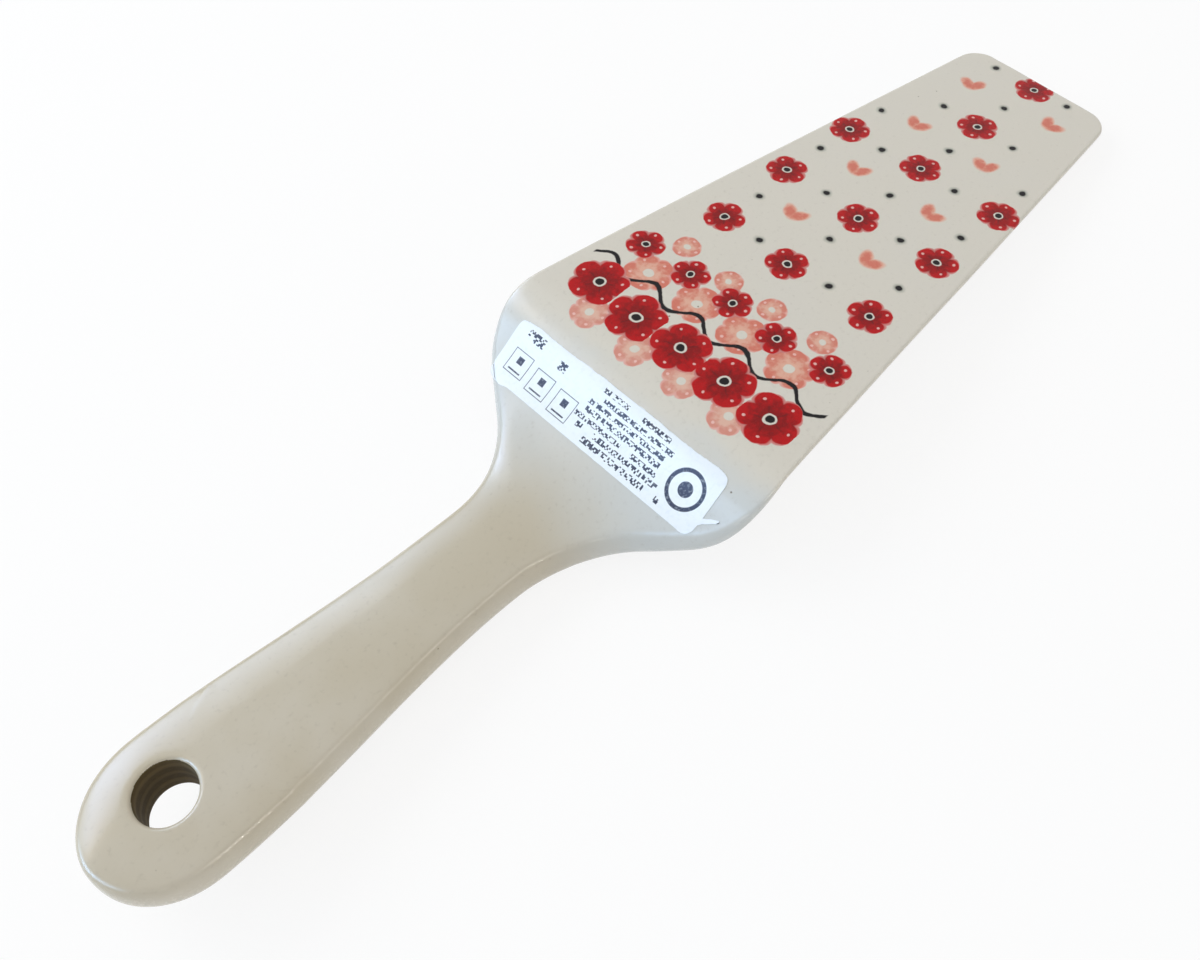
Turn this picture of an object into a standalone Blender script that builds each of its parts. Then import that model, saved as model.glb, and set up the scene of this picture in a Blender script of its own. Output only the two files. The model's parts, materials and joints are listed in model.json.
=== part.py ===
# A pie server pressed in one piece from stoneware and glazed, with a paper label on its ramp.
# Metres, +Z up. The shape is drawn with its blade level and X running from the handle's round
# end to the tip of the blade. An empty then lays it down the way it rests on a table.

import math

import bmesh
import bpy
import numpy as np
from mathutils import Matrix

# Seen from above: runs along X, then half widths, then the radii that round the corners.
GRIP_LENGTH = 0.0779  # from the round end to the narrowest part of the neck
NECK_RUN = 0.0172  # from there to the corner between neck and shoulder
SHOULDER_RUN = 0.0179  # from there to the outer corner of the shoulder
BLADE_LENGTH = 0.1370  # from there to the tip
GRIP_HALF_WIDTH = 0.0139
END_LENGTH = 0.0163  # over this length the end of the handle rounds off
NECK_HALF_WIDTH = 0.0098
SHOULDER_HALF_WIDTH = 0.0347
TIP_HALF_WIDTH = 0.0186
NECK_FILLET = 0.0250
SHOULDER_FILLET = 0.0140
TIP_CORNER = 0.0054
GRIP_LEAN = 0.0026  # how far the round end strays sideways from the blade's middle line
TIP_SKEW = 0.0007  # how much further forward the tip reaches at its left corner than in its middle
SKEWED_SHARE = 0.4  # the skew grows over this last part of the whole length

# Seen from the side: the handle hangs below the blade and a ramp joins them.
HEEL_LEAD = 0.0080  # from the neck's corner to the foot of the ramp
RAMP_RUN = 0.0181
RAMP_RISE = 0.0175
GRIP_FALL = 0.0027  # how far the round end lies below the foot of the ramp
GRIP_BOW = 0.0013  # how far the grip sags below a straight line
HEEL_FILLET = 0.0417
BROW_FILLET = 0.0169

# Walls, and the rounding of their edges.
GRIP_THICKNESS = 0.0110
BLADE_THICKNESS = 0.0044
THINNING_LEAD = 0.0070  # from the narrowest part of the neck to where the wall starts to thin
THINNING_RUN = 0.0400
GRIP_EDGE = 0.0017
SHOULDER_EDGE = 0.0021
GRIP_UNDERSIDE_EDGE = 0.0045
SHOULDER_UNDERSIDE_EDGE = 0.0035
BLADE_EDGE = 0.0010
BLADE_UNDERCUT = 0.0028  # the underside slants up to the blade's rim over this width
RIM_LIFT = 0.0013  # how far the blade's rim lies above the middle of the wall
EDGE_FULLNESS = 3.0  # at 2 an edge's rounding is an ellipse, and more makes it boxier
UNDERSIDE_FULLNESS = 2.3
UNDERCUT_FULLNESS = 1.15  # near 1 it is a plain slant
TOP_CROWN = 0.0012
UNDERSIDE_CROWN = 0.0005
CROWN_FADE = 0.0120  # over this length the crown dies out, ending at the foot of the ramp

# Hanging hole.
HOLE_STATION = 0.0159
HOLE_OFFSET = 0.0010  # how far the hole strays to the left of the handle's middle
HOLE_RADIUS = 0.0053
HOLE_RIM = 0.0010

# Paper label, stuck across the ramp.
LABEL_LENGTH = 0.0540
LABEL_WIDTH = 0.0133
LABEL_CORNER = 0.0022
LABEL_THICKNESS = 0.0003
LABEL_CLEARANCE = 0.0003
LABEL_PLACE_SHARE = 0.505  # of the ramp's run
LABEL_OFFSET = 0.0005  # how far the label sits to the left of the blade's middle line
LABEL_TURN = math.radians(0.7)
LABEL_HOLD_SHARE = 0.3  # nearer the rim than this share of the edge, the paper no longer bends down

# Fillets never use up more than this share of the straight runs that they join.
FILLET_ROOM_SHARE = 0.98

# How finely each stretch is divided.
ARC_STEPS = 32
SLOPE_STEP_SHARE = 0.002
GRIP_STEPS = 9
SHOULDER_STEPS = 26
BLADE_STEPS = 6
TIP_STEPS = 7
END_STEPS = 16
EDGE_STEPS = 5
FLAT_STEPS = 8
RIM_STEPS = 3
WEB_STEPS = 3
LABEL_STEPS = 30
LABEL_ROWS = 5
MERGE_DISTANCE = 0.000001

NECK_CORNER = GRIP_LENGTH + NECK_RUN
SHOULDER_CORNER = NECK_CORNER + SHOULDER_RUN
OVERALL_LENGTH = SHOULDER_CORNER + BLADE_LENGTH
HEEL_STATION = NECK_CORNER + HEEL_LEAD
BROW_STATION = HEEL_STATION + RAMP_RUN
THINNING_START = GRIP_LENGTH + THINNING_LEAD
THINNING_END = THINNING_START + THINNING_RUN
JOIN_STATION = HOLE_STATION + HOLE_STATION  # where the faces round the hole meet the rows after it
SLOPE_STEP = SLOPE_STEP_SHARE * OVERALL_LENGTH


def ease(share):
    share = np.clip(share, 0, 1)
    return share * share * (3 - 2 * share)


def rounding(share, fullness=2):
    """Height of a rounded edge, from 0 at the rim to 1 where the edge meets the flat."""
    inward = 1 - np.clip(share, 0, 1)
    return (1 - inward**fullness) ** (1 / fullness)


def unit(vector):
    return vector / np.linalg.norm(vector)


def rounded_path(corners, radii):
    """Points along straight runs whose inner corners are arcs of the given radii."""
    corners = [np.array(corner) for corner in corners]
    runs = [after - before for before, after in zip(corners, corners[1:])]
    turns = [math.acos(unit(a) @ unit(b)) for a, b in zip(runs, runs[1:])]
    reaches = [0, *(radius * math.tan(turn / 2) for radius, turn in zip(radii, turns)), 0]
    rooms = [np.linalg.norm(run) / (a + b) for run, a, b in zip(runs, reaches, reaches[1:])]
    fit = min(1, FILLET_ROOM_SHARE * min(rooms))
    points = [corners[0]]
    for corner, before, after, reach, radius, turn in zip(
        corners[1:], runs, runs[1:], reaches[1:], radii, turns
    ):
        start = corner - unit(before) * reach * fit
        side = np.sign(before[0] * after[1] - before[1] * after[0])
        heading = math.atan2(before[1], before[0])
        across = np.array((-math.sin(heading), math.cos(heading))) * side
        centre = start + across * radius * fit
        for step in range(ARC_STEPS + 1):
            angle = heading + side * turn * step / ARC_STEPS
            across = np.array((-math.sin(angle), math.cos(angle))) * side
            points.append(centre - across * radius * fit)
    points.append(corners[-1])
    return np.array(points).T


OUTLINE = rounded_path(
    [
        (GRIP_LENGTH, NECK_HALF_WIDTH),
        (NECK_CORNER, NECK_HALF_WIDTH),
        (SHOULDER_CORNER, SHOULDER_HALF_WIDTH),
        (OVERALL_LENGTH, TIP_HALF_WIDTH),
    ],
    [NECK_FILLET, SHOULDER_FILLET],
)
SIDE_VIEW = rounded_path(
    [
        (0, -RAMP_RISE - GRIP_FALL),
        (HEEL_STATION, -RAMP_RISE),
        (BROW_STATION, 0),
        (OVERALL_LENGTH, 0),
    ],
    [HEEL_FILLET, BROW_FILLET],
)
RAMP_START = SIDE_VIEW[0][1]


def half_width(x):
    """Half the width of the outline at station x."""
    inset = np.clip(1 - x / END_LENGTH, 0, 1)
    round_end = GRIP_HALF_WIDTH * np.sqrt(1 - inset**2)
    along = np.clip((x - END_LENGTH) / (GRIP_LENGTH - END_LENGTH), 0, 1)
    swell = (1 + np.cos(math.pi * along)) / 2
    grip = NECK_HALF_WIDTH + (GRIP_HALF_WIDTH - NECK_HALF_WIDTH) * swell
    past = np.clip(x - (OVERALL_LENGTH - TIP_CORNER), 0, TIP_CORNER)
    corner = TIP_CORNER - np.sqrt(TIP_CORNER**2 - past**2)
    blade = np.interp(x, *OUTLINE) - corner
    return np.where(x < END_LENGTH, round_end, np.where(x < GRIP_LENGTH, grip, blade))


def centre_height(x):
    """Height of the middle of the wall at station x."""
    sag = np.sin(math.pi * np.clip(x / RAMP_START, 0, 1)) ** 2
    return np.interp(x, *SIDE_VIEW) - GRIP_BOW * sag


def sideways(x):
    """Where the middle of the handle lies across the blade's middle line at station x."""
    return -GRIP_LEAN * np.clip(1 - x / GRIP_LENGTH, 0, 1) ** 2


def forward(x, y):
    """How far the skew of the tip moves a point of the blade along X."""
    grown = np.clip(1 - (OVERALL_LENGTH - x) / (OVERALL_LENGTH * SKEWED_SHARE), 0, 1) ** 2
    return TIP_SKEW * grown * y / TIP_HALF_WIDTH


def slope(x, curve):
    return (curve(x + SLOPE_STEP) - curve(x - SLOPE_STEP)) / (2 * SLOPE_STEP)


def thinned(x):
    """How far the wall has thinned from the grip's, at 0, to the blade's, at 1."""
    return ease((x - THINNING_START) / THINNING_RUN)


def half_thickness(x):
    """Half the wall, measured upright, so that the ramp is as thick as its ends are."""
    wall = GRIP_THICKNESS + (BLADE_THICKNESS - GRIP_THICKNESS) * thinned(x)
    return wall / 2 * np.hypot(1, slope(x, centre_height))


def edge_width(x, side):
    """How far in from the outline the rounding of the edge reaches."""
    if side > 0:
        grip_edge, shoulder_edge, blade_edge = GRIP_EDGE, SHOULDER_EDGE, BLADE_EDGE
    else:
        grip_edge, shoulder_edge = GRIP_UNDERSIDE_EDGE, SHOULDER_UNDERSIDE_EDGE
        blade_edge = BLADE_UNDERCUT
    middle = (THINNING_START + THINNING_END) / 2
    grip_part = grip_edge + (shoulder_edge - grip_edge) * ease(
        (x - THINNING_START) / (middle - THINNING_START)
    )
    blade_part = shoulder_edge + (blade_edge - shoulder_edge) * ease(
        (x - middle) / (THINNING_END - middle)
    )
    return np.where(x < middle, grip_part, blade_part)


def edge_fullness(x, side):
    """How boxy the rounding of the edge is."""
    if side > 0:
        return EDGE_FULLNESS
    return UNDERSIDE_FULLNESS + (UNDERCUT_FULLNESS - UNDERSIDE_FULLNESS) * thinned(x)


def edge_distance(x, y):
    """Distance in plan from a point to the outline."""
    y = np.abs(y)
    inset = END_LENGTH - x
    share = np.hypot(inset / END_LENGTH, y / GRIP_HALF_WIDTH)
    steepness = np.hypot(inset / END_LENGTH**2, y / GRIP_HALF_WIDTH**2)
    end = (1 - share) * share / np.maximum(steepness, MERGE_DISTANCE)
    corner_x = OVERALL_LENGTH - TIP_CORNER
    corner_y = np.interp(x, *OUTLINE) - TIP_CORNER
    corner = TIP_CORNER - np.hypot(np.maximum(x - corner_x, 0), np.maximum(y - corner_y, 0))
    side = (half_width(x) - y) / np.hypot(1, slope(x, half_width))
    return np.where(x < END_LENGTH, end, np.where(x > corner_x, corner, side))


def surface_height(x, y, side, least_share=0):
    """Height of the top face (side 1) or the underside (side -1) over a point in plan."""
    crown = TOP_CROWN if side > 0 else UNDERSIDE_CROWN
    crown = crown * (1 - ease((x - HEEL_STATION + CROWN_FADE) / CROWN_FADE))
    width = np.maximum(half_width(x), MERGE_DISTANCE)
    rise = half_thickness(x) - crown * np.clip(np.abs(y) / width, 0, 1) ** 2
    inward_share = np.maximum(edge_distance(x, y) / edge_width(x, side), least_share)
    rounded = rounding(inward_share, edge_fullness(x, side))
    rise = rise * rounded + side * RIM_LIFT * thinned(x) * (1 - rounded)
    from_hole = np.hypot(x - HOLE_STATION, y - HOLE_OFFSET) - HOLE_RADIUS
    rim_drop = HOLE_RIM * (1 - rounding(from_hole / HOLE_RIM))
    return centre_height(x) + side * (rise - rim_drop)


def edge_steps(fullness):
    """Shares of an edge's width from its rim inward, closest where it curves most."""
    angles = [math.pi / 2 * step / EDGE_STEPS for step in range(EDGE_STEPS)]
    return [1 - math.cos(angle) ** (2 / fullness) for angle in angles] + [1]


def columns(x, side):
    """Where the columns of one side's mesh cross station x, from the right-hand rim to the left.

    Both sides end in the same columns at the tip, where they are stitched.
    """
    width = float(half_width(x))
    own, top = float(edge_width(x, side)), float(edge_width(x, 1))
    at_tip = min(max(1 - (OVERALL_LENGTH - x) / TIP_CORNER, 0), 1)
    edge = min(own + (top - own) * at_tip, width)
    fullness = float(edge_fullness(x, side))
    fullness = fullness + (EDGE_FULLNESS - fullness) * at_tip
    rim = [width - edge * share for share in edge_steps(fullness)]
    flat = (width - edge) * 2 / FLAT_STEPS
    inner = [flat * (step - FLAT_STEPS / 2) for step in range(1, FLAT_STEPS)]
    return [-y for y in rim] + inner + rim[::-1]


def even_stations(start, end, count):
    """Stations from start to end, evenly spaced along the outline."""
    fine = np.linspace(start, end, ARC_STEPS * count + 1)
    length = np.hypot(np.diff(fine), np.diff(half_width(fine)))
    length = np.concatenate(([0], np.cumsum(length)))
    return np.interp(np.linspace(0, length[-1], count + 1), length, fine)


def body_stations():
    """Stations of the mesh from the holed end to the tip."""
    corner = OVERALL_LENGTH - TIP_CORNER
    tip = [
        corner + TIP_CORNER * math.sin(math.pi / 2 * step / TIP_STEPS)
        for step in range(TIP_STEPS + 1)
    ]
    parts = [
        even_stations(JOIN_STATION, GRIP_LENGTH, GRIP_STEPS),
        even_stations(GRIP_LENGTH, THINNING_END, SHOULDER_STEPS)[1:],
        even_stations(THINNING_END, corner, BLADE_STEPS)[1:],
        tip[1:],
    ]
    return np.concatenate(parts)


def round_end_rim(side):
    """The outer border of the ring of faces round the hole, anticlockwise from its middle right."""
    right = [(JOIN_STATION, y) for y in columns(JOIN_STATION, side)]
    stations = even_stations(0, JOIN_STATION, END_STEPS)[::-1]
    left = [(x, float(half_width(x))) for x in stations[1:]]
    right_low = [(x, -float(half_width(x))) for x in stations[1:-1]][::-1]
    border = right + left + right_low
    middle = len(right) // 2
    return border[middle:] + border[: middle + 1]


def add_sheet(bm, rows, count, place):
    """Adds a grid of faces and moves each of its corners to place(row, column)."""
    added = bmesh.ops.create_grid(bm, x_segments=rows, y_segments=count, size=1)
    for vert in added["verts"]:
        row = round((vert.co.x + 1) / 2 * rows)
        column = round((vert.co.y + 1) / 2 * count)
        vert.co = place(row, column)


def add_body_side(bm, side):
    """The top face or the underside, out to the rim that they share."""
    stations = body_stations()
    grid = [columns(x, side) for x in stations]

    def on_body(row, column):
        x, y = stations[row], grid[row][column]
        return x + float(forward(x, y)), y + float(sideways(x)), float(surface_height(x, y, side))

    add_sheet(bm, len(stations) - 1, len(grid[0]) - 1, on_body)

    border = round_end_rim(side)
    turns = len(border) - 1
    hole_centre = np.array((HOLE_STATION, HOLE_OFFSET))
    grip_slope = float(slope(HOLE_STATION, centre_height))
    inner_shares = [1 - math.cos(math.pi / 2 * step / RIM_STEPS) for step in range(RIM_STEPS + 1)]
    edge = float(edge_width(HOLE_STATION, side))
    outer_shares = edge_steps(float(edge_fullness(HOLE_STATION, side)))[::-1]
    rows = RIM_STEPS + WEB_STEPS + EDGE_STEPS

    def round_hole(row, column):
        outer = np.array(border[column])
        angle = 2 * math.pi * column / turns
        inner = hole_centre + HOLE_RADIUS * np.array((math.cos(angle), math.sin(angle)))
        reach = np.linalg.norm(outer - inner)
        near = HOLE_RIM / reach
        far = 1 - edge / reach
        if row <= RIM_STEPS:
            share = near * inner_shares[row]
        elif row < RIM_STEPS + WEB_STEPS:
            share = near + (far - near) * (row - RIM_STEPS) / WEB_STEPS
        else:
            share = 1 - (1 - far) * outer_shares[row - RIM_STEPS - WEB_STEPS]
        x, y = inner + (outer - inner) * share
        z = float(surface_height(x, y, side))
        square_on = grip_slope * (1 - share) * (z - float(centre_height(x)))
        return x - square_on, y + float(sideways(x)), z

    add_sheet(bm, rows, turns, round_hole)


def finish_mesh(bm, name, material):
    """Turns a bmesh into an object that is shaded smooth."""
    mesh = bpy.data.meshes.new(name)
    bm.to_mesh(mesh)
    bm.free()
    mesh.shade_smooth()
    mesh.materials.append(material)
    return bpy.data.objects.new(name, mesh)


def make_material(name, colour, roughness):
    material = bpy.data.materials.new(name)
    material.use_nodes = True
    shader = material.node_tree.nodes["Principled BSDF"]
    shader.inputs["Base Color"].default_value = (*colour, 1)
    shader.inputs["Roughness"].default_value = roughness
    shader.inputs["Metallic"].default_value = 0
    return material


def make_server():
    """The blade, ramp and handle: both faces, stitched at the rim and through the hole."""
    bm = bmesh.new()
    for side in (1, -1):
        add_body_side(bm, side)
    bmesh.ops.remove_doubles(bm, verts=bm.verts, dist=MERGE_DISTANCE)
    open_edges = [edge for edge in bm.edges if edge.is_boundary]
    bmesh.ops.bridge_loops(bm, edges=open_edges)
    bmesh.ops.recalc_face_normals(bm, faces=bm.faces)
    if bm.calc_volume(signed=True) < 0:
        bmesh.ops.reverse_faces(bm, faces=bm.faces)
    glaze = make_material("cream_glaze", (0.62, 0.58, 0.50), 0.12)
    return finish_mesh(bm, "stoneware_server", glaze)


def make_label():
    """The paper strip, a thin sheet that follows the ramp just clear of the glaze."""
    centre = HEEL_STATION + RAMP_RUN * LABEL_PLACE_SHARE
    fine = np.linspace(HEEL_STATION - RAMP_RUN, BROW_STATION + RAMP_RUN, ARC_STEPS * ARC_STEPS)
    rise = np.diff(surface_height(fine, 0 * fine, 1))
    walked = np.concatenate(([0], np.cumsum(np.hypot(np.diff(fine), rise))))
    walked = walked - np.interp(centre, fine, walked)
    straight = LABEL_WIDTH / 2 - LABEL_CORNER
    corner = [math.pi / 2 * step / LABEL_ROWS for step in range(LABEL_ROWS + 1)]
    up = [straight + LABEL_CORNER * math.sin(angle) for angle in corner]
    inset = [LABEL_CORNER * (1 - math.cos(angle)) for angle in corner]
    offsets = [-value for value in up[::-1]] + [0] + up
    insets = inset[::-1] + [0] + inset
    cos_turn, sin_turn = math.cos(LABEL_TURN), math.sin(LABEL_TURN)

    def on_ramp(row, column):
        share = math.sin(math.pi * (column / LABEL_STEPS - 1 / 2))
        across = share * (LABEL_LENGTH / 2 - insets[row])
        along = offsets[row] * cos_turn - across * sin_turn
        y = offsets[row] * sin_turn + across * cos_turn + LABEL_OFFSET
        x = float(np.interp(along, walked, fine))
        lift = LABEL_CLEARANCE * np.hypot(1, slope(x, centre_height))
        return x, y, float(surface_height(x, y, 1, LABEL_HOLD_SHARE) + lift)

    bm = bmesh.new()
    add_sheet(bm, len(offsets) - 1, LABEL_STEPS, on_ramp)
    paper = make_material("label_paper", (0.80, 0.86, 0.92), 0.5)
    label = finish_mesh(bm, "paper_label", paper)
    wall = label.modifiers.new("paper thickness", "SOLIDIFY")
    wall.thickness = LABEL_THICKNESS
    wall.offset = 1
    return label


def solid_centre(mesh):
    """Centre of mass of a closed mesh, as X only."""
    bm = bmesh.new()
    bm.from_mesh(mesh)
    bmesh.ops.triangulate(bm, faces=bm.faces)
    volume = moment = 0
    for face in bm.faces:
        a, b, c = (vert.co for vert in face.verts)
        piece = a.dot(b.cross(c)) / 6
        volume += piece
        moment += piece * (a.x + b.x + c.x) / 4
    bm.free()
    return moment / volume


def lay_down(mesh):
    """Turns and lowers the drawn shape onto the two places it rests on, centred over the origin."""
    points = sorted({(vert.co.x, vert.co.z) for vert in mesh.vertices})
    hull = []
    for x, z in points:
        while len(hull) > 1:
            (x0, z0), (x1, z1) = hull[-2:]
            if (x1 - x0) * (z - z0) - (z1 - z0) * (x - x0) > 0:
                break
            hull.pop()
        hull.append((x, z))
    balance = solid_centre(mesh)
    for (x0, z0), (x1, z1) in zip(hull, hull[1:]):
        if x0 <= balance <= x1:
            tilt = math.atan2(z1 - z0, x1 - x0)
    turned = Matrix.Rotation(tilt, 4, "Y")
    corners = [turned @ vert.co for vert in mesh.vertices]
    left = min(corner.x for corner in corners)
    right = max(corner.x for corner in corners)
    low = min(corner.z for corner in corners)
    return Matrix.Translation((-(left + right) / 2, 0, -low)) @ turned


def main():
    for old in list(bpy.data.objects):
        bpy.data.objects.remove(old)
    collection = bpy.data.collections.new("pie_server")
    bpy.context.scene.collection.children.link(collection)
    server = make_server()
    label = make_label()
    rest = bpy.data.objects.new("resting_place", None)
    collection.objects.link(rest)
    rest.matrix_world = lay_down(server.data)
    for part in (server, label):
        collection.objects.link(part)
        part.parent = rest
    bpy.context.view_layer.update()


main()
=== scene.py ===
import json
import math

import bpy
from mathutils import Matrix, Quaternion, Vector


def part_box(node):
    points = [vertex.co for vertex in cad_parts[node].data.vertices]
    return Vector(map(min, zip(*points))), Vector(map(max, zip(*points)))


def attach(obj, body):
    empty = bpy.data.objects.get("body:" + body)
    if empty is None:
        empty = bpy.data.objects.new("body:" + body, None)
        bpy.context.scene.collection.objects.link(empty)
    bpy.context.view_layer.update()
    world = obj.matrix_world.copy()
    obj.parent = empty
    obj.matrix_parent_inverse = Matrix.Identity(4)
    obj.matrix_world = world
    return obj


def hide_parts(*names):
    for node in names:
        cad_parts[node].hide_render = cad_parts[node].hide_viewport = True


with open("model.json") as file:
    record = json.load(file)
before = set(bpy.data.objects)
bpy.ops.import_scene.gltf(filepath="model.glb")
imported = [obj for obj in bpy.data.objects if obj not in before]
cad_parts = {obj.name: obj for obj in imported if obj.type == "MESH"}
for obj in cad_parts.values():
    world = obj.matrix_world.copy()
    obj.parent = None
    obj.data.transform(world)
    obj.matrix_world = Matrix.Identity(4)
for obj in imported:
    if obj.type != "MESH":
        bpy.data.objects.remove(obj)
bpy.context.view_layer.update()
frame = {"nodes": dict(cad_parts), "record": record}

mm = 0.001

# the flat top of the blade sets the frame that the decoration is drawn in
bladeMount = next(mount for mount in frame["record"]["mounts"] if mount["name"] == "blade_top")
bladeTilt = math.atan2(bladeMount["axis"][0], bladeMount["axis"][2])
bladeAlong = Vector((math.cos(bladeTilt), 0, -math.sin(bladeTilt)))
mountToBrow = 66 * mm
browPlace = Vector(bladeMount["pos_m"]) - bladeAlong * mountToBrow
holeLow, holeHigh = (Vector(corner) for corner in frame["record"]["physics"]["openings"][0]["box_m"])
holeCentre = (holeLow + holeHigh) / 2


def pick(piece):
    for item in bpy.context.selected_objects:
        item.select_set(False)
    piece.select_set(True)
    bpy.context.view_layer.objects.active = piece


def selectOnly(piece, kind, wanted):
    # edit mode then works on the vertices, edges or faces for which wanted() is true
    bpy.ops.object.mode_set(mode="EDIT")
    bpy.ops.mesh.select_mode(type=kind)
    bpy.ops.mesh.select_all(action="DESELECT")
    bpy.ops.object.mode_set(mode="OBJECT")
    items = {"VERT": piece.data.vertices, "EDGE": piece.data.edges, "FACE": piece.data.polygons}
    for item in items[kind]:
        item.select = wanted(item)
    bpy.ops.object.mode_set(mode="EDIT")


def applyAll(piece):
    pick(piece)
    for modifier in list(piece.modifiers):
        bpy.ops.object.modifier_apply(modifier=modifier.name)


meshRepair = {"mergeBelow": 0.01 * mm, "quadAngle": math.radians(60)}


def copyOfNode(nodeName, pieceName):
    piece = bpy.data.objects.new(pieceName, frame["nodes"][nodeName].data.copy())
    bpy.context.scene.collection.objects.link(piece)
    piece.data.materials.clear()
    pick(piece)
    bpy.ops.mesh.customdata_custom_splitnormals_clear()
    bpy.ops.object.mode_set(mode="EDIT")
    bpy.ops.mesh.select_all(action="SELECT")
    bpy.ops.mesh.remove_doubles(threshold=meshRepair["mergeBelow"])
    bpy.ops.mesh.tris_convert_to_quads(
        face_threshold=meshRepair["quadAngle"], shape_threshold=meshRepair["quadAngle"])
    bpy.ops.object.mode_set(mode="OBJECT")
    return piece


def refine(piece, levels):
    finer = piece.modifiers.new("refine", "SUBSURF")
    finer.levels = finer.render_levels = levels
    applyAll(piece)
    bpy.ops.object.shade_smooth()


# material nodes

def shade(red, green, blue):
    # a colour as a picture editor gives it, 0 to 255
    parts = [value / 255 for value in (red, green, blue)]
    return [v / 12.92 if v <= 0.04045 else ((v + 0.055) / 1.055) ** 2.4 for v in parts] + [1]


def newMaterial(name):
    material = bpy.data.materials.new(name)
    material.use_nodes = True
    return material, material.node_tree, material.node_tree.nodes["Principled BSDF"]


def feed(tree, socket, value):
    if isinstance(value, bpy.types.NodeSocket):
        tree.links.new(value, socket)
    else:
        socket.default_value = value


def calc(tree, operation, *values):
    step = tree.nodes.new("ShaderNodeMath")
    step.operation = operation
    for socket, value in zip(step.inputs, values):
        feed(tree, socket, value)
    return step.outputs[0]


def distance(tree, x, y):
    return calc(tree, "SQRT", calc(tree, "ADD", calc(tree, "POWER", x, 2), calc(tree, "POWER", y, 2)))


def ease(tree, value, start, end, low=0, high=1):
    # runs smoothly from low at start to high at end
    step = tree.nodes.new("ShaderNodeMapRange")
    step.interpolation_type = "SMOOTHSTEP"
    entries = {"Value": value, "From Min": start, "From Max": end, "To Min": low, "To Max": high}
    for socket, entry in entries.items():
        feed(tree, step.inputs[socket], entry)
    return step.outputs["Result"]


def both(tree, *masks):
    result = masks[0]
    for mask in masks[1:]:
        result = calc(tree, "MULTIPLY", result, mask)
    return result


def layColour(tree, under, over, share):
    step = tree.nodes.new("ShaderNodeMix")
    step.data_type = "RGBA"
    for index, value in ((0, share), (6, under), (7, over)):
        feed(tree, step.inputs[index], value)
    return step.outputs[2]


def noise(tree, vector, size, detail=2):
    step = tree.nodes.new("ShaderNodeTexNoise")
    feed(tree, step.inputs["Vector"], vector)
    step.inputs["Scale"].default_value = 1 / size
    step.inputs["Detail"].default_value = detail
    return step.outputs["Fac"]


def drawnCoordinates(tree, place, turn):
    # millimetres along, across and up from a place on the piece
    source = tree.nodes.new("ShaderNodeTexCoord")
    step = tree.nodes.new("ShaderNodeMapping")
    step.vector_type = "TEXTURE"
    step.inputs["Location"].default_value = place
    step.inputs["Rotation"].default_value = turn
    step.inputs["Scale"].default_value = (mm, mm, mm)
    tree.links.new(source.outputs["Object"], step.inputs["Vector"])
    return step.outputs["Vector"]


def split(tree, vector):
    step = tree.nodes.new("ShaderNodeSeparateXYZ")
    feed(tree, step.inputs[0], vector)
    return list(step.outputs)


def join(tree, *values):
    step = tree.nodes.new("ShaderNodeCombineXYZ")
    for socket, value in zip(step.inputs, values):
        feed(tree, socket, value)
    return step.outputs[0]


def roughen(tree, shader, heights):
    # bumps given as (height socket, depth in metres), each on top of the last
    normal = None
    for height, depth in heights:
        step = tree.nodes.new("ShaderNodeBump")
        step.inputs["Distance"].default_value = depth
        feed(tree, step.inputs["Height"], height)
        if normal:
            tree.links.new(normal, step.inputs["Normal"])
        normal = step.outputs["Normal"]
    tree.links.new(normal, shader.inputs["Normal"])


# decoration: petalled blossoms, leaf pairs and dots, stamped on a regular repeat
stamps = {
    "redDeep": (138, 0, 4),
    "redPale": (186, 0, 8),
    "outline": (240, 200, 192),
    "coralDeep": (212, 94, 68),
    "coralPale": (228, 168, 144),
    "ink": (14, 10, 14),
    "halo": (132, 138, 124),
    "softness": 0.2,
    "topSide": -1.3,
    "topSoft": 0.3,
    "wobble": 0.75,
    "wobbleSize": 2.6,
    "mottle": 1.2,
    "mottleSize": 1.1,
    # parts of a blossom as shares of its radius, then as multiples of the softness, then how
    # strongly they show
    "heart": 0.2,
    "eye": 0.13,
    "sparkPlace": (0.74, 0.1),
    "veinReach": (0.6, 0.45),
    "poolAndSheen": {"red": (0.25, 0.9), "coral": (0.85, 0.2)},
    "sparkSize": (2, 1),
    "veinWidth": 1.5,
    "rimWidth": 3.2,
    "rimShare": 0.4,
    "sparkShare": 0.8,
    "veinShare": 0.35,
    "petalFullness": 3,
    "fieldStart": (39.0, 0.0),
    "fieldPitch": (21.0, 19.0),
    "fieldLimit": 31.0,
    "fieldSeed": 11.0,
    "blossomRadius": 4.5,
    "blossomDrift": 1.6,
    "leafLength": 2.5,
    "leafWidth": 1.5,
    "leafOpening": math.radians(38),
    "leafTilt": 0.8,
    "leafPlace": 0.7,
    "leafDrift": 1.4,
    "leafSeed": 3.0,
    "leafSoft": (1.25, 0.5),
    "leafPool": (0.1, 0.9),
    "leafShare": 0.85,
    "dotRadius": 0.72,
    "dotSoft": 0.2,
    "dotDrift": 2.2,
    "dotSeeds": (5.0, 6.0),
    "haloReach": (2.2, 0.8),
    "haloShare": 0.6,
    "edgeAtBrow": 33.5,
    "edgeTaper": 0.1175,
    "edgeMargin": 3.2,
    "borderPitch": 11.6,
    "borderReach": 2.4,
    # rows of the border as (tone, place along, half a pitch over, radius, petals, strength)
    "underRows": (("coral", 1.6, True, 4.0, 5, 0.7), ("coral", 17.6, True, 5.0, 5, 0.85),
                  ("coral", 27.2, True, 3.0, 4, 0.8)),
    "overRows": (("red", 7.4, False, 6.2, 5, 1.0), ("red", 22.6, False, 4.1, 5, 1.0)),
    "stemRow": 14.0,
    "stemSwing": 1.7,
    "stemWidth": 0.46,
    "stemReach": 29.5,
    "stemSoft": (0.2, 0.1),
    "stemEndSoft": 0.3,
}


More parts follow.
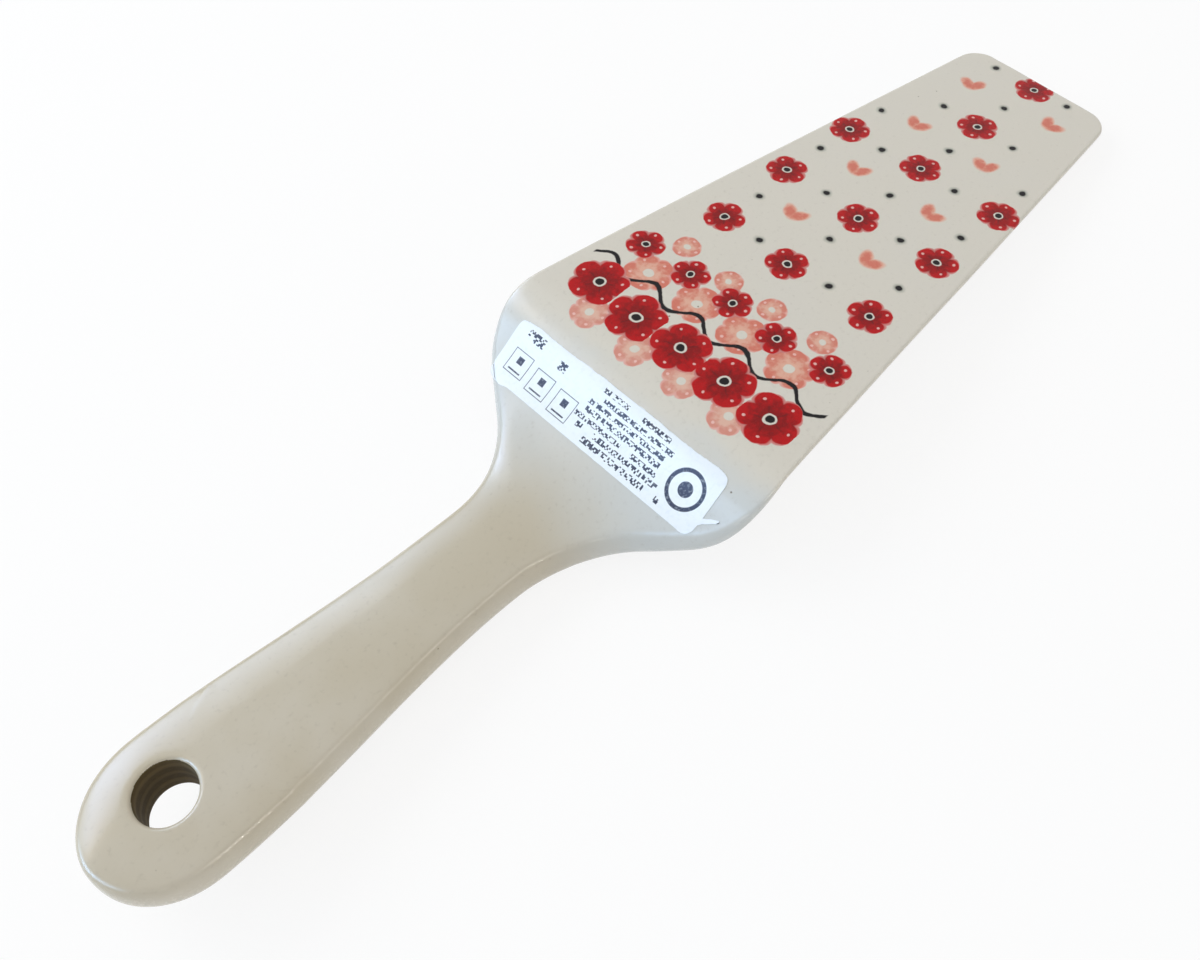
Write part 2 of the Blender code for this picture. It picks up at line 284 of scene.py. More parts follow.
def nearestCopy(tree, place, start, pitch):
    count = calc(tree, "ROUND", calc(tree, "DIVIDE", calc(tree, "SUBTRACT", place, start), pitch))
    return count, calc(tree, "MULTIPLY_ADD", count, pitch, start)


def stampPlace(tree, along, across, counts, centre, seed, drift):
    # where a point lies from the middle of its nearest stamp, which is never quite in line
    dice = tree.nodes.new("ShaderNodeTexWhiteNoise")
    tree.links.new(join(tree, *counts, seed), dice.inputs["Vector"])
    rolls = split(tree, dice.outputs["Color"])
    local = []
    for place, middle, roll in zip((along, across), centre, rolls):
        shift = calc(tree, "MULTIPLY", calc(tree, "SUBTRACT", roll, 0.5), drift)
        local.append(calc(tree, "SUBTRACT", calc(tree, "SUBTRACT", place, middle), shift))
    return {"x": local[0], "y": local[1], "roll": rolls[2]}


def blossom(tree, stamp, radius, petals=5):
    soft = stamps["softness"]
    reach = distance(tree, stamp["x"], stamp["y"])
    turned = calc(tree, "ADD", calc(tree, "ARCTAN2", stamp["y"], stamp["x"]),
                  calc(tree, "MULTIPLY", stamp["roll"], math.tau))
    folded = calc(tree, "WRAP", turned, math.pi / petals, -math.pi / petals)
    out = calc(tree, "DIVIDE", calc(tree, "MULTIPLY", reach, calc(tree, "COSINE", folded)), radius)
    side = calc(tree, "MULTIPLY", reach, calc(tree, "SINE", folded))
    room = calc(tree, "MULTIPLY", out, calc(
        tree, "SUBTRACT", 1, calc(tree, "POWER", out, stamps["petalFullness"])))
    width = calc(tree, "MULTIPLY", calc(tree, "SQRT", calc(tree, "MAXIMUM", room, 0)),
                 radius * math.tan(math.pi / petals))
    depth = calc(tree, "SUBTRACT", width, calc(tree, "ABSOLUTE", side))
    heart, eyeSize = radius * stamps["heart"], radius * stamps["eye"]
    clear = ease(tree, reach, heart, heart + soft)
    within = ease(tree, reach, radius + soft, radius - soft)
    petal = both(tree, ease(tree, depth, -soft, soft), clear, within)
    rim = both(tree, ease(tree, depth, soft * stamps["rimWidth"], soft), petal)
    vein = both(tree, ease(tree, calc(tree, "ABSOLUTE", side), soft * stamps["veinWidth"], 0), petal,
                ease(tree, out, *stamps["veinReach"]))
    eye = ease(tree, reach, eyeSize + soft, eyeSize)
    sparkOut, sparkSide = stamps["sparkPlace"]
    fromSpark = distance(tree, calc(tree, "MULTIPLY", calc(tree, "SUBTRACT", out, sparkOut), radius),
                         calc(tree, "SUBTRACT", side, radius * sparkSide))
    spark = both(tree, ease(tree, fromSpark, *(soft * size for size in stamps["sparkSize"])), petal)
    return {"petal": petal, "rim": rim, "vein": vein, "eye": eye, "spark": spark, "out": out}


def leafPair(tree, stamp):
    tilt = calc(tree, "MULTIPLY", calc(tree, "SUBTRACT", stamp["roll"], 0.5), stamps["leafTilt"])
    cosTilt, sinTilt = calc(tree, "COSINE", tilt), calc(tree, "SINE", tilt)
    x = calc(tree, "ADD", calc(tree, "MULTIPLY", stamp["x"], cosTilt),
             calc(tree, "MULTIPLY", stamp["y"], sinTilt))
    y = calc(tree, "ABSOLUTE", calc(
        tree, "SUBTRACT", calc(tree, "MULTIPLY", stamp["y"], cosTilt),
        calc(tree, "MULTIPLY", stamp["x"], sinTilt)))
    opening = stamps["leafOpening"]
    length = calc(tree, "ADD", calc(tree, "MULTIPLY", x, math.cos(opening)),
                  calc(tree, "MULTIPLY", y, math.sin(opening)))
    side = calc(tree, "SUBTRACT", calc(tree, "MULTIPLY", y, math.cos(opening)),
                calc(tree, "MULTIPLY", x, math.sin(opening)))
    length = calc(tree, "DIVIDE", calc(
        tree, "SUBTRACT", length, stamps["leafLength"] * stamps["leafPlace"]), stamps["leafLength"])
    side = calc(tree, "DIVIDE", side, stamps["leafWidth"])
    return calc(tree, "ADD", calc(tree, "POWER", length, 2), calc(tree, "POWER", side, 2))


def decorate(tree, ground, vector, along, across, up):
    look = {name: shade(*stamps[name]) for name in
            ("redDeep", "redPale", "outline", "coralDeep", "coralPale", "ink", "halo")}
    wobble = tree.nodes.new("ShaderNodeTexNoise")
    tree.links.new(vector, wobble.inputs["Vector"])
    wobble.inputs["Scale"].default_value = 1 / stamps["wobbleSize"]
    drifts = split(tree, wobble.outputs["Color"])
    along, across = (
        calc(tree, "MULTIPLY_ADD", calc(tree, "SUBTRACT", drift, 0.5), stamps["wobble"], place)
        for drift, place in zip(drifts, (along, across)))
    top = ease(tree, up, stamps["topSide"] - stamps["topSoft"], stamps["topSide"])
    mottle = calc(tree, "MULTIPLY", calc(
        tree, "SUBTRACT", noise(tree, vector, stamps["mottleSize"], detail=4), 0.5), stamps["mottle"])
    colour = ground

    def lay(over, mask, strength=1.0):
        return layColour(tree, colour, over, both(tree, mask, top, strength))

    def inField(start):
        counts, centre = zip(*(nearestCopy(tree, place, first, pitch) for place, first, pitch in
                               zip((along, across), start, stamps["fieldPitch"])))
        edge = calc(tree, "MULTIPLY_ADD", centre[0], -stamps["edgeTaper"],
                    stamps["edgeAtBrow"] - stamps["edgeMargin"])
        kept = both(tree, calc(tree, "LESS_THAN", calc(tree, "ABSOLUTE", centre[1]), edge),
                    calc(tree, "GREATER_THAN", centre[0], stamps["fieldLimit"]))
        return counts, centre, kept

    def layBlossom(tone, parts, kept, strength):
        # the colour pools deeper towards the heart of a red petal and the rim of a coral one
        nonlocal colour
        poolAndSheen = ease(tree, calc(tree, "ADD", parts["out"], mottle), *stamps["poolAndSheen"][tone])
        glaze = layColour(tree, look[f"{tone}Deep"], look[f"{tone}Pale"], poolAndSheen)
        colour = lay(glaze, both(tree, parts["petal"], kept), strength)
        colour = lay(look["outline"], both(tree, parts["rim"], kept), stamps["rimShare"])
        colour = lay(look["outline"], both(tree, parts["spark"], kept), stamps["sparkShare"])
        if tone == "red":
            colour = lay(look["ink"], both(tree, parts["vein"], kept), stamps["veinShare"])
            colour = lay(look["ink"], both(tree, parts["eye"], kept), strength)

    def layRow(tone, row, halfOver, radius, petals, strength):
        pitch = stamps["borderPitch"]
        count, centre = nearestCopy(tree, across, pitch / 2 if halfOver else 0.0, pitch)
        kept = calc(tree, "LESS_THAN", calc(tree, "ABSOLUTE", centre), pitch * stamps["borderReach"])
        stamp = stampPlace(tree, along, across, (count, 0), (row, centre), row, stamps["blossomDrift"])
        layBlossom(tone, blossom(tree, stamp, radius, petals), kept, strength)

    # leaf pairs and dots of the field
    pitch = stamps["fieldPitch"]
    first = stamps["fieldStart"]
    half = (first[0] + pitch[0] / 2, first[1] + pitch[1] / 2)
    counts, centre, kept = inField(half)
    leaf = leafPair(tree, stampPlace(
        tree, along, across, counts, centre, stamps["leafSeed"], stamps["leafDrift"]))
    leafTone = layColour(tree, look["coralDeep"], look["coralPale"], ease(
        tree, calc(tree, "ADD", leaf, mottle), *stamps["leafPool"]))
    colour = lay(leafTone, both(tree, ease(tree, leaf, *stamps["leafSoft"]), kept), stamps["leafShare"])
    size, soft = stamps["dotRadius"], stamps["dotSoft"]
    for seed, start in zip(stamps["dotSeeds"], ((half[0], first[1]), (first[0], half[1]))):
        counts, centre, kept = inField(start)
        stamp = stampPlace(tree, along, across, counts, centre, seed, stamps["dotDrift"])
        reach = distance(tree, stamp["x"], stamp["y"])
        halo = ease(tree, reach, *(size * share for share in stamps["haloReach"]))
        colour = lay(look["halo"], both(tree, halo, kept), stamps["haloShare"])
        colour = lay(look["ink"], both(tree, ease(tree, reach, size + soft, size - soft), kept))

    # the border on the brow, with a wavy stem among its blossoms
    for row in stamps["underRows"]:
        layRow(*row)
    wave = calc(tree, "SINE", calc(tree, "MULTIPLY", across, math.tau / stamps["borderPitch"]))
    stem = calc(tree, "MULTIPLY_ADD", wave, stamps["stemSwing"], stamps["stemRow"])
    offStem = calc(tree, "ABSOLUTE", calc(tree, "SUBTRACT", along, stem))
    reach, width = stamps["stemReach"], stamps["stemWidth"]
    outer, inner = stamps["stemSoft"]
    colour = lay(look["ink"], both(
        tree, ease(tree, offStem, width + outer, width - inner),
        ease(tree, calc(tree, "ABSOLUTE", across), reach + stamps["stemEndSoft"], reach)))
    for row in stamps["overRows"]:
        layRow(*row)
    counts, centre, kept = inField(first)
    stamp = stampPlace(
        tree, along, across, counts, centre, stamps["fieldSeed"], stamps["blossomDrift"])
    layBlossom("red", blossom(tree, stamp, stamps["blossomRadius"]), kept, 1.0)
    return colour


# the server: one fired and glazed piece
glazeLook = {
    "blade": (219, 214, 202),
    "grip": (198, 189, 169),
    "cloud": (218, 214, 205),
    "fleck": (112, 98, 76),
    "gripEnd": -30.0,
    "bladeStart": 0.0,
    "cloudSize": 22,
    "cloudSpread": (0.4, 0.75),
    "cloudShare": 0.35,
    # a painted sheen that stands in for the sky mirrored on the ramp and shoulders; the keys after it
    # place it
    "poolAndSheen": (205, 211, 213),
    "sheenShare": 0.85,
    "sheenSize": 14,
    "sheenDrift": 10.0,
    "sheenSpread": 0.03,
    "sheenRise": (-32.0, -2.0),
    "sheenFall": (3.0, -6.0),
    "roughness": 0.26,
    "gloss": 0.06,
    "coat": 0.35,
    "coatRoughness": 0.06,
    "fleckEvery": 6.0,
    "fleckRadius": 0.17,
    "fleckSoft": (1.6, 0.6),
    "fleckAbove": 0.55,
    "fleckShare": 0.8,
    "pitDepth": 0.05 * mm,
    "grainSize": 0.9,
    "grainSpread": (0.5, 0.95),
    "grainShare": 0.2,
    "grainDepth": 0.003 * mm,
    "roughSpread": (0.3, 0.8),
    "roughChange": (-0.03, 0.05),
    "rippleSize": 6,
    "rippleDepth": 0.05 * mm,
}
holeLook = {
    "tilt": math.radians(8.5),
    "radius": 5.7 * mm,
    "depth": 4.7 * mm,
    # dark brown of the wall, then the painted shadow for the troughs between the rings
    "wallBrown": (104, 88, 56),
    "shadow": (84, 70, 42),
    "ringEvery": 2.9,
    "ringSpread": (-0.4, 1),
    "ringWaver": 4,
    "ringDepth": 0.03 * mm,
    "speckleSize": 0.6,
    "speckleSpread": (0.45, 0.8),
    "speckleShare": 0.4,
    "speckleDepth": 0.05 * mm,
    "roughness": 0.7,
    "gloss": 0.15,
}
serverShape = {
    "refineLevels": 2,
    "holeReach": 10 * mm,
    "wallLength": 6 * mm,
    "rings": 7,
    "unevenness": 0.3 * mm,
    "unevenSize": 30 * mm,
}


def serverPiece():
    piece = copyOfNode("stoneware_server", "glazed_server")
    mesh = piece.data

    def onHoleWall(edge):
        low, high = (mesh.vertices[index].co for index in edge.vertices)
        near = ((low + high) / 2 - holeCentre).xy.length < serverShape["holeReach"]
        return near and (high - low).length > serverShape["wallLength"]

    # the wall of the hole is cut into rings so that it keeps its shape
    selectOnly(piece, "EDGE", onHoleWall)
    bpy.ops.mesh.subdivide(number_cuts=serverShape["rings"])
    bpy.ops.object.mode_set(mode="OBJECT")
    refine(piece, serverShape["refineLevels"])

    # pressed and sponged by hand, so no face is quite even
    texture = bpy.data.textures.new("hand pressing", "CLOUDS")
    texture.noise_scale = serverShape["unevenSize"]
    uneven = piece.modifiers.new("unevenness", "DISPLACE")
    uneven.texture = texture
    uneven.texture_coords = "LOCAL"
    uneven.strength = serverShape["unevenness"]
    applyAll(piece)
    piece.data.materials.append(glazeMaterial())
    piece.data.materials.append(holeMaterial())
    axis = Vector((math.sin(holeLook["tilt"]), 0, math.cos(holeLook["tilt"])))
    for face in piece.data.polygons:
        fromCentre = face.center - holeCentre
        depth = fromCentre.dot(axis)
        if abs(depth) < holeLook["depth"] and (fromCentre - axis * depth).length < holeLook["radius"]:
            face.material_index = 1
    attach(piece, "root")
    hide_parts("stoneware_server")
    return piece


def glazeMaterial():
    material, tree, shader = newMaterial("cream glaze")
    vector = drawnCoordinates(tree, browPlace, (0, bladeTilt, 0))
    along, across, up = split(tree, vector)
    toBlade = ease(tree, along, glazeLook["gripEnd"], glazeLook["bladeStart"])
    colour = layColour(tree, shade(*glazeLook["grip"]), shade(*glazeLook["blade"]), toBlade)
    clouds = ease(tree, noise(tree, vector, glazeLook["cloudSize"], detail=3),
                  *glazeLook["cloudSpread"])
    colour = layColour(
        tree, colour, shade(*glazeLook["cloud"]), both(tree, clouds, glazeLook["cloudShare"]))
    # painted sheen: a colder, paler colour laid on the ramp, most of all out at the shoulders, as a
    # painted reflection of the sky
    drift = calc(tree, "MULTIPLY_ADD", noise(tree, vector, glazeLook["sheenSize"]),
                 glazeLook["sheenDrift"], along)
    outward = calc(tree, "MULTIPLY_ADD", calc(tree, "POWER", across, 2), glazeLook["sheenSpread"], drift)
    poolAndSheen = both(tree, ease(tree, outward, *glazeLook["sheenRise"]),
                ease(tree, drift, *glazeLook["sheenFall"]))
    colour = layColour(tree, colour, shade(*glazeLook["poolAndSheen"]), both(tree, poolAndSheen, glazeLook["sheenShare"]))
    grain = noise(tree, vector, glazeLook["grainSize"], detail=3)
    colour = layColour(tree, colour, shade(*glazeLook["fleck"]), ease(
        tree, grain, *glazeLook["grainSpread"], 0, glazeLook["grainShare"]))
    flecks = tree.nodes.new("ShaderNodeTexVoronoi")
    tree.links.new(vector, flecks.inputs["Vector"])
    flecks.inputs["Scale"].default_value = 1 / glazeLook["fleckEvery"]
    size = glazeLook["fleckRadius"] / glazeLook["fleckEvery"]
    chosen = calc(tree, "GREATER_THAN", split(tree, flecks.outputs["Color"])[0], glazeLook["fleckAbove"])
    outer, inner = glazeLook["fleckSoft"]
    fleck = both(tree, ease(tree, flecks.outputs["Distance"], size * outer, size * inner), chosen)
    colour = decorate(tree, colour, vector, along, across, up)
    colour = layColour(
        tree, colour, shade(*glazeLook["fleck"]), both(tree, fleck, glazeLook["fleckShare"]))
    tree.links.new(colour, shader.inputs["Base Color"])

    ripple = noise(tree, vector, glazeLook["rippleSize"])
    rough = (glazeLook["roughness"] + change for change in glazeLook["roughChange"])
    tree.links.new(ease(tree, grain, *glazeLook["roughSpread"], *rough), shader.inputs["Roughness"])
    shader.inputs["Specular IOR Level"].default_value = glazeLook["gloss"]
    shader.inputs["Coat Weight"].default_value = glazeLook["coat"]
    shader.inputs["Coat Roughness"].default_value = glazeLook["coatRoughness"]
    roughen(tree, shader, ((ripple, glazeLook["rippleDepth"]), (grain, glazeLook["grainDepth"]),
                           (calc(tree, "SUBTRACT", 1, fleck), glazeLook["pitDepth"])))
    return material


def holeMaterial():
    # the wall of the hole is painted dark brown and matt, with the faint rings that the drill left and
    # painted shadow in the troughs between them
    material, tree, shader = newMaterial("dark hole wall")
    vector = drawnCoordinates(tree, holeCentre, (0, holeLook["tilt"], 0))
    waver = noise(tree, vector, holeLook["ringWaver"], detail=1)
    depth = calc(tree, "ADD", split(tree, vector)[2], waver)
    rings = calc(tree, "SINE", calc(tree, "MULTIPLY", depth, math.tau / holeLook["ringEvery"]))
    ring = ease(tree, rings, *holeLook["ringSpread"])
    colour = layColour(tree, shade(*holeLook["shadow"]), shade(*holeLook["wallBrown"]), ring)
    speckle = noise(tree, vector, holeLook["speckleSize"], detail=3)
    colour = layColour(tree, colour, shade(*holeLook["wallBrown"]), ease(
        tree, speckle, *holeLook["speckleSpread"], 0, holeLook["speckleShare"]))
    tree.links.new(colour, shader.inputs["Base Color"])
    shader.inputs["Roughness"].default_value = holeLook["roughness"]
    shader.inputs["Specular IOR Level"].default_value = holeLook["gloss"]
    roughen(tree, shader, ((ring, holeLook["ringDepth"]), (speckle, holeLook["speckleDepth"])))
    return material


# the paper label, and a torn scrap of it
labelLook = {
    "paper": (236, 243, 249),
    "fibre": (224, 233, 242),
    "ink": (14, 18, 46),
    "fibreSize": 0.8,
    "fibreSpread": (0.45, 0.8),
    "fibreShare": 0.6,
    "fibreDepth": 0.02 * mm,
    "buckleSize": 5,
    "buckleDepth": 0.08 * mm,
    "roughness": 0.42,
    "gloss": 0.3,
    "outerSheet": 0.3,
    "refineLevels": 2,
    "sink": 0.45 * mm,
    "reach": 0.5 * mm,
    "lift": 0.02 * mm,
    "thickness": 0.12 * mm,
    "smoothBelow": math.radians(50),
    "cutWaver": 0.03 * mm,
    "cutSeed": 4,
    "printTurn": math.radians(-0.7),
    "printSoft": 0.07,
    "smearSize": 0.5,
    "smearSpread": (0.25, 0.5),
    "smearLeast": 0.8,
    # rows of small marks as (up, from, to, half height), in millimetres from the middle of the label
    "rows": ((4.9, -13.5, 3.4, 0.5), (3.2, -15.5, 2.2, 0.5), (1.6, -14.5, 5.0, 0.5),
             (0.0, -16.0, 4.6, 0.55), (-1.7, -15.0, 6.0, 0.5), (-3.3, -16.5, 4.4, 0.55),
             (-5.0, -18.5, 1.5, 0.6), (4.3, 19.5, 24.0, 1.0), (3.2, 12.6, 14.6, 0.9)),
    "markPitch": 0.36,
    "markAbove": 0.47,
    "wordPitch": 2.9,
    "wordAbove": 0.12,
    "boxes": ((22.0, -1.6), (15.4, -2.2), (8.8, -2.6)),
    "boxSize": 2.5,
    "boxLine": 0.16,
    "dotPlace": 0.6,
    "dotSize": 0.75,
    "footLine": (-1.7, 1.6),
    "ringPlace": (-21.2, -0.2),
    "ringRadius": 3.6,
    "ringLine": 0.4,
    "coreSize": 1.5,
}
scrapShape = {
    "place": (-14.2, -27.6),
    "size": (1.4 * mm, 4.2 * mm),
    "turn": math.radians(-32),
    "columns": 3,
    "cuts": 7,
    "point": 0.3,
    "tear": 0.22 * mm,
}


def layOnGlaze(piece, server, reach):
    # presses an open sheet onto the glaze, then gives it the thickness of paper
    lay = piece.modifiers.new("lay on glaze", "SHRINKWRAP")
    lay.target = server
    lay.wrap_method = "PROJECT"
    lay.use_negative_direction = lay.use_positive_direction = True
    lay.use_project_z = True
    lay.project_limit = reach
    lay.offset = labelLook["lift"]
    wall = piece.modifiers.new("paper thickness", "SOLIDIFY")
    wall.thickness = labelLook["thickness"]
    wall.offset = 1
    applyAll(piece)
    bpy.ops.object.shade_smooth_by_angle(angle=labelLook["smoothBelow"])
    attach(piece, "root")


def waverEdge(piece, size):
    bpy.ops.object.mode_set(mode="EDIT")
    bpy.ops.mesh.select_mode(type="VERT")
    bpy.ops.mesh.select_all(action="DESELECT")
    bpy.ops.mesh.select_non_manifold()
    bpy.ops.transform.vertex_random(offset=size, seed=labelLook["cutSeed"])
    bpy.ops.object.mode_set(mode="OBJECT")


def labelPiece(server):
    piece = copyOfNode("paper_label", "price_label")

    # only the outer sheet of the solid is kept, and sinks to the glaze
    selectOnly(piece, "FACE", lambda face: face.normal.z < labelLook["outerSheet"])
    bpy.ops.mesh.delete(type="FACE")
    bpy.ops.object.mode_set(mode="OBJECT")
    sink = piece.modifiers.new("sink", "DISPLACE")
    sink.strength = -labelLook["sink"]
    sink.mid_level = 0
    applyAll(piece)
    refine(piece, labelLook["refineLevels"])
    waverEdge(piece, labelLook["cutWaver"])
    layOnGlaze(piece, server, labelLook["reach"])
    piece.data.materials.append(paperMaterial("printed label paper", printed=True))
    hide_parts("paper_label")


def scrapPiece(server):
    along, across = scrapShape["place"]
    place = browPlace + bladeAlong * (along * mm) + Vector((0, across * mm, 0))
    bpy.ops.mesh.primitive_grid_add(
        x_subdivisions=scrapShape["columns"], y_subdivisions=scrapShape["cuts"], size=1, location=place)
    piece = bpy.context.object
    piece.name = piece.data.name = "label_scrap"
    width, length = scrapShape["size"]
    bpy.ops.object.mode_set(mode="EDIT")
    bpy.ops.transform.resize(value=(width, length, 1), center_override=place)
    bpy.ops.object.mode_set(mode="OBJECT")
    bpy.ops.object.transform_apply(location=True, rotation=True, scale=True)
    for row in range(scrapShape["cuts"]):
        # each row of the torn strip is narrower than the last
        edge = place.y + length / 2 - length * (row + 0.5) / scrapShape["cuts"]
        selectOnly(piece, "VERT", lambda vertex: vertex.co.y < edge)
        narrowed = scrapShape["point"] ** (1 / scrapShape["cuts"])
        bpy.ops.transform.resize(value=(narrowed, 1, 1), center_override=place)
        bpy.ops.object.mode_set(mode="OBJECT")
    waverEdge(piece, scrapShape["tear"])
    bpy.ops.object.mode_set(mode="EDIT")
    bpy.ops.mesh.select_all(action="SELECT")
    bpy.ops.transform.rotate(value=scrapShape["turn"], orient_axis="Z", center_override=place)
    bpy.ops.object.mode_set(mode="OBJECT")
    layOnGlaze(piece, server, 0)
    piece.data.materials.append(paperMaterial("torn label paper", printed=False))


def stripe(tree, value, middle, half):
    soft = labelLook["printSoft"]
    offset = calc(tree, "ABSOLUTE", calc(tree, "SUBTRACT", value, middle))
    return ease(tree, offset, half + soft, half - soft)


def cellDice(tree, along, across, size, seed):
    # a random value that is the same all over each square of the given size
    cells = [calc(tree, "FLOOR", calc(tree, "DIVIDE", value, size)) for value in (along, across)]
    dice = tree.nodes.new("ShaderNodeTexWhiteNoise")
    tree.links.new(join(tree, *cells, seed), dice.inputs["Vector"])
    return dice.outputs["Value"]


def printOnLabel(tree, up, across, smear):
    # rows of small marks that say nothing, boxes with a dot and a line, and a ring
    marks = []

    def block(placeAcross, halfAcross, placeUp, halfUp):
        return both(tree, stripe(tree, across, placeAcross, halfAcross),
                    stripe(tree, up, placeUp, halfUp))

    for seed, (row, start, end, tall) in enumerate(labelLook["rows"]):
        fine = calc(tree, "GREATER_THAN", cellDice(
            tree, across, calc(tree, "SUBTRACT", up, row), labelLook["markPitch"], seed),
            labelLook["markAbove"])
        word = calc(tree, "GREATER_THAN", cellDice(
            tree, across, 0.0, labelLook["wordPitch"], seed + 0.5), labelLook["wordAbove"])
        marks.append(both(tree, block((start + end) / 2, (end - start) / 2, row, tall), fine, word))
    size, edge, dot = labelLook["boxSize"], labelLook["boxLine"], labelLook["dotSize"]
    footUp, footReach = labelLook["footLine"]
    for boxAcross, boxUp in labelLook["boxes"]:
        outer, inner = (block(boxAcross, half, boxUp, half) for half in (size, size - edge))
        marks.append(calc(tree, "SUBTRACT", outer, inner))
        marks.append(block(boxAcross, dot, boxUp + labelLook["dotPlace"], dot))
        marks.append(block(boxAcross, footReach, boxUp + footUp, edge))
    ringAcross, ringUp = labelLook["ringPlace"]
    reach = distance(tree, calc(tree, "SUBTRACT", across, ringAcross),
                     calc(tree, "SUBTRACT", up, ringUp))
    marks.append(stripe(tree, reach, labelLook["ringRadius"], labelLook["ringLine"]))
    marks.append(stripe(tree, reach, 0.0, labelLook["coreSize"]))
    result = marks[0]
    for mark in marks[1:]:
        result = calc(tree, "MAXIMUM", result, mark)
    return both(tree, result, smear)


def paperMaterial(name, printed):
    material, tree, shader = newMaterial(name)
    low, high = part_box("paper_label")
    middle = (Vector(low) + Vector(high)) / 2
    rise = math.atan2(high[2] - low[2], high[0] - low[0])
    vector = drawnCoordinates(tree, middle, (0, -rise, 0))
    fibre = noise(tree, vector, labelLook["fibreSize"], detail=4)
    colour = layColour(tree, shade(*labelLook["paper"]), shade(*labelLook["fibre"]), ease(
        tree, fibre, *labelLook["fibreSpread"], 0, labelLook["fibreShare"]))
    if printed:
        along, across, _ = split(tree, vector)
        turn = labelLook["printTurn"]
        up = calc(tree, "SUBTRACT", calc(tree, "MULTIPLY", along, math.cos(turn)),
                  calc(tree, "MULTIPLY", across, math.sin(turn)))
        smear = ease(tree, noise(tree, vector, labelLook["smearSize"]), *labelLook["smearSpread"],
                     labelLook["smearLeast"], 1)
        marks = printOnLabel(tree, up, across, smear)
        colour = layColour(tree, colour, shade(*labelLook["ink"]), marks)
    tree.links.new(colour, shader.inputs["Base Color"])
    shader.inputs["Roughness"].default_value = labelLook["roughness"]
    shader.inputs["Specular IOR Level"].default_value = labelLook["gloss"]
    buckle = noise(tree, vector, labelLook["buckleSize"], detail=1)
    roughen(tree, shader, ((fibre, labelLook["fibreDepth"]), (buckle, labelLook["buckleDepth"])))
    return material


# stage

stageLook = {
    "floorSize": 4.0,
    "cameraPlace": (-0.08178, -0.09408, 0.19211),
    "cameraAim": (-0.01933, -0.00550, 0.01000),
    "cameraRoll": math.radians(-9.74),
    "lens": 34.351,
    "cameraNear": 0.01,
    "worldLight": 0.65,
    "floorTone": 0.97,
    "floorGlow": 0.84,
    "lampFade": (0.5, 0.05),
}


def seenAsBackground(tree):
    path = tree.nodes.new("ShaderNodeLightPath")
    seen = [path.outputs[name] for name in ("Is Camera Ray", "Is Glossy Ray", "Is Transmission Ray")]
    return calc(tree, "MAXIMUM", calc(tree, "MAXIMUM", seen[0], seen[1]), seen[2])


def makeFloor():
    bpy.ops.mesh.primitive_plane_add(size=stageLook["floorSize"], location=(0, 0, 0))
    floor = bpy.context.object
    floor.name = "floor"
    material = bpy.data.materials.new("white sweep")
    material.use_nodes = True
    tree = material.node_tree
    tree.nodes.clear()
    matt = tree.nodes.new("ShaderNodeBsdfDiffuse")
    matt.inputs["Color"].default_value = (*[stageLook["floorTone"]] * 3, 1)
    glow = tree.nodes.new("ShaderNodeEmission")
    glow.inputs["Strength"].default_value = 1
    share = calc(tree, "MULTIPLY", seenAsBackground(tree), stageLook["floorGlow"])
    blend = tree.nodes.new("ShaderNodeMixShader")
    tree.links.new(share, blend.inputs[0])
    tree.links.new(matt.outputs[0], blend.inputs[1])
    tree.links.new(glow.outputs[0], blend.inputs[2])
    out = tree.nodes.new("ShaderNodeOutputMaterial")
    tree.links.new(blend.outputs[0], out.inputs["Surface"])
    floor.data.materials.append(material)


def makeWorld():
    world = bpy.data.worlds.new("studio")
    world.use_nodes = True
    bpy.context.scene.world = world
    tree = world.node_tree
    background = tree.nodes["Background"]
    background.inputs["Color"].default_value = (1, 1, 1, 1)
    share = seenAsBackground(tree)
    strength = calc(tree, "MULTIPLY_ADD", share, 1 - stageLook["worldLight"], stageLook["worldLight"])
    tree.links.new(strength, background.inputs["Strength"])


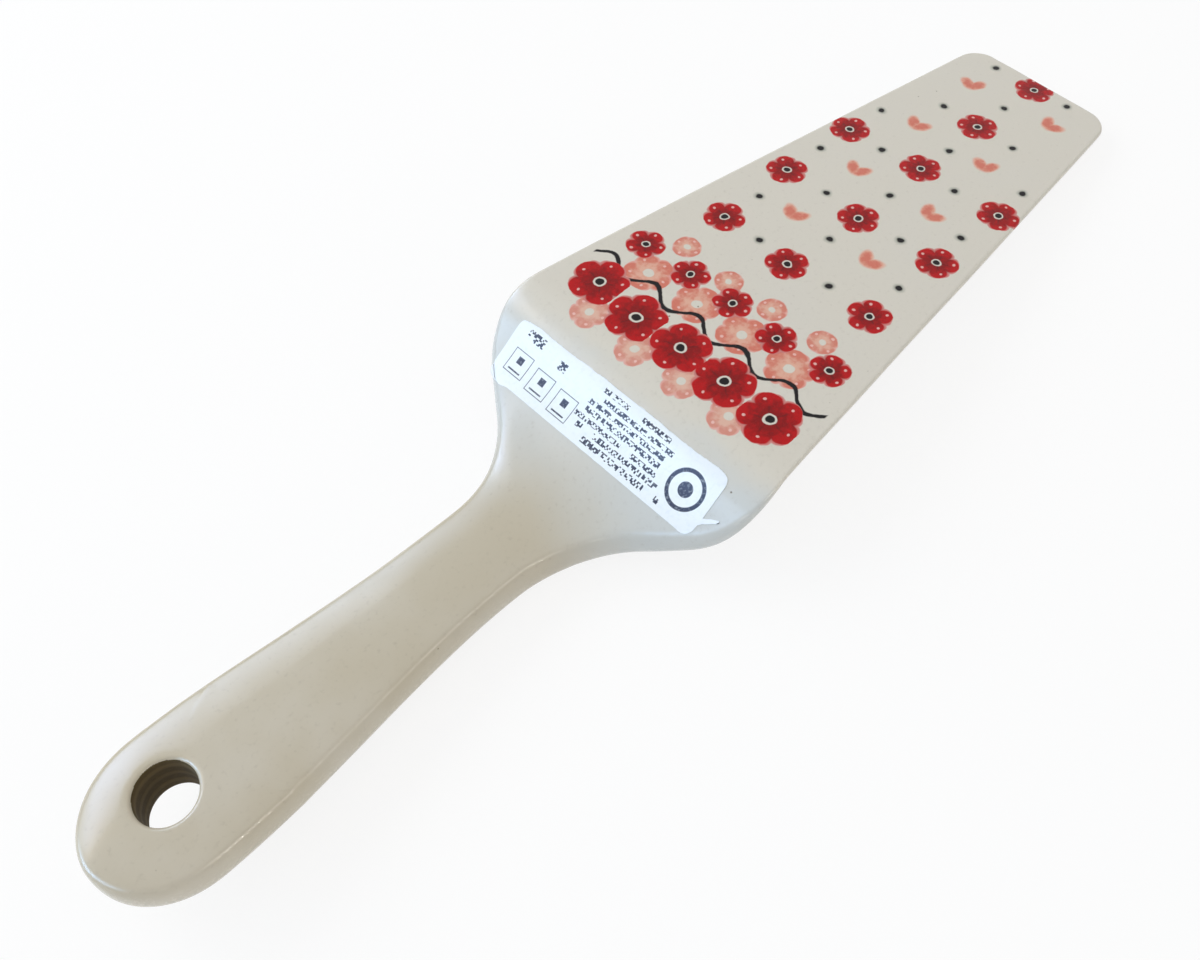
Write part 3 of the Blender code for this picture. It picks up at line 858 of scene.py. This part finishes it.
lamps = {
    # place, size, power, colour, and whether it lights the piece or is only mirrored in its glaze
    "room": ((-0.25, 0.75, 0.65), (0.8, 0.6), 3.4, (1.0, 1.0, 1.0), True),
    "sky": ((-0.8, 0.44, 0.42), (0.7, 0.5), 2.0, (0.4, 0.7, 1.0), True),
    "front": ((0.15, -0.9, 0.3), (0.5, 0.1), 0.6, (1.0, 0.9, 0.74), True),
    "window": ((-0.86, 0.28, 0.42), (1.7, 1.1), 108.0, (0.42, 0.66, 1.0), False),
    "side window": ((-0.03, 0.79, 0.61), (1.4, 0.66), 26.0, (0.55, 0.72, 1.0), False),
    "far window": ((-0.13, 0.71, 0.69), (0.5, 0.5), 8.5, (0.55, 0.66, 1.0), False),
    "high window": ((-0.23, 0.54, 0.81), (0.4, 0.4), 1.6, (1.0, 0.85, 0.7), False),
    "strip": ((0.1, -0.86, 0.5), (1.4, 0.3), 16.0, (1.0, 0.97, 0.9), False),
    "near bulb": ((0.05, -0.98, 0.21), (0.26, 0.1), 5.0, (1.0, 0.95, 0.85), False),
    "far bulb": ((-0.7, -0.66, 0.28), (0.26, 0.1), 5.0, (1.0, 0.95, 0.85), False),
}


def fadeToEdges(data):
    # brightest in its middle, so that its mirror image has no hard edge
    data.use_nodes = True
    tree = data.node_tree
    spot = tree.nodes.new("ShaderNodeNewGeometry").outputs["Parametric"]
    u, v = (calc(tree, "SUBTRACT", value, 0.5) for value in split(tree, spot)[:2])
    strength = ease(tree, distance(tree, u, v), *stageLook["lampFade"])
    tree.links.new(strength, tree.nodes["Emission"].inputs["Strength"])


def makeLamp(name, place, size, power, colour, lights):
    data = bpy.data.lights.new(name, "AREA")
    data.shape = "RECTANGLE"
    data.size, data.size_y = size
    data.energy = power
    data.color = colour
    lamp = bpy.data.objects.new(name, data)
    lamp.location = place
    lamp.rotation_euler = (-Vector(place)).to_track_quat("-Z", "Y").to_euler()
    lamp.visible_diffuse = lights
    if not lights:
        fadeToEdges(data)
    bpy.context.scene.collection.objects.link(lamp)


def makeCamera():
    data = bpy.data.cameras.new("camera")
    data.lens = stageLook["lens"]
    data.clip_start = stageLook["cameraNear"]
    camera = bpy.data.objects.new("camera", data)
    camera.location = stageLook["cameraPlace"]
    view = Vector(stageLook["cameraAim"]) - camera.location
    roll = Quaternion((0, 0, 1), stageLook["cameraRoll"])
    camera.rotation_mode = "QUATERNION"
    camera.rotation_quaternion = view.to_track_quat("-Z", "Y") @ roll
    bpy.context.scene.collection.objects.link(camera)
    bpy.context.scene.camera = camera


print("shaping the server")
server = serverPiece()
print("laying the label")
labelPiece(server)
scrapPiece(server)
print("setting the stage")
makeFloor()
makeWorld()
for name, values in lamps.items():
    makeLamp(name, *values)
makeCamera()
bpy.context.scene.view_settings.view_transform = "Standard"
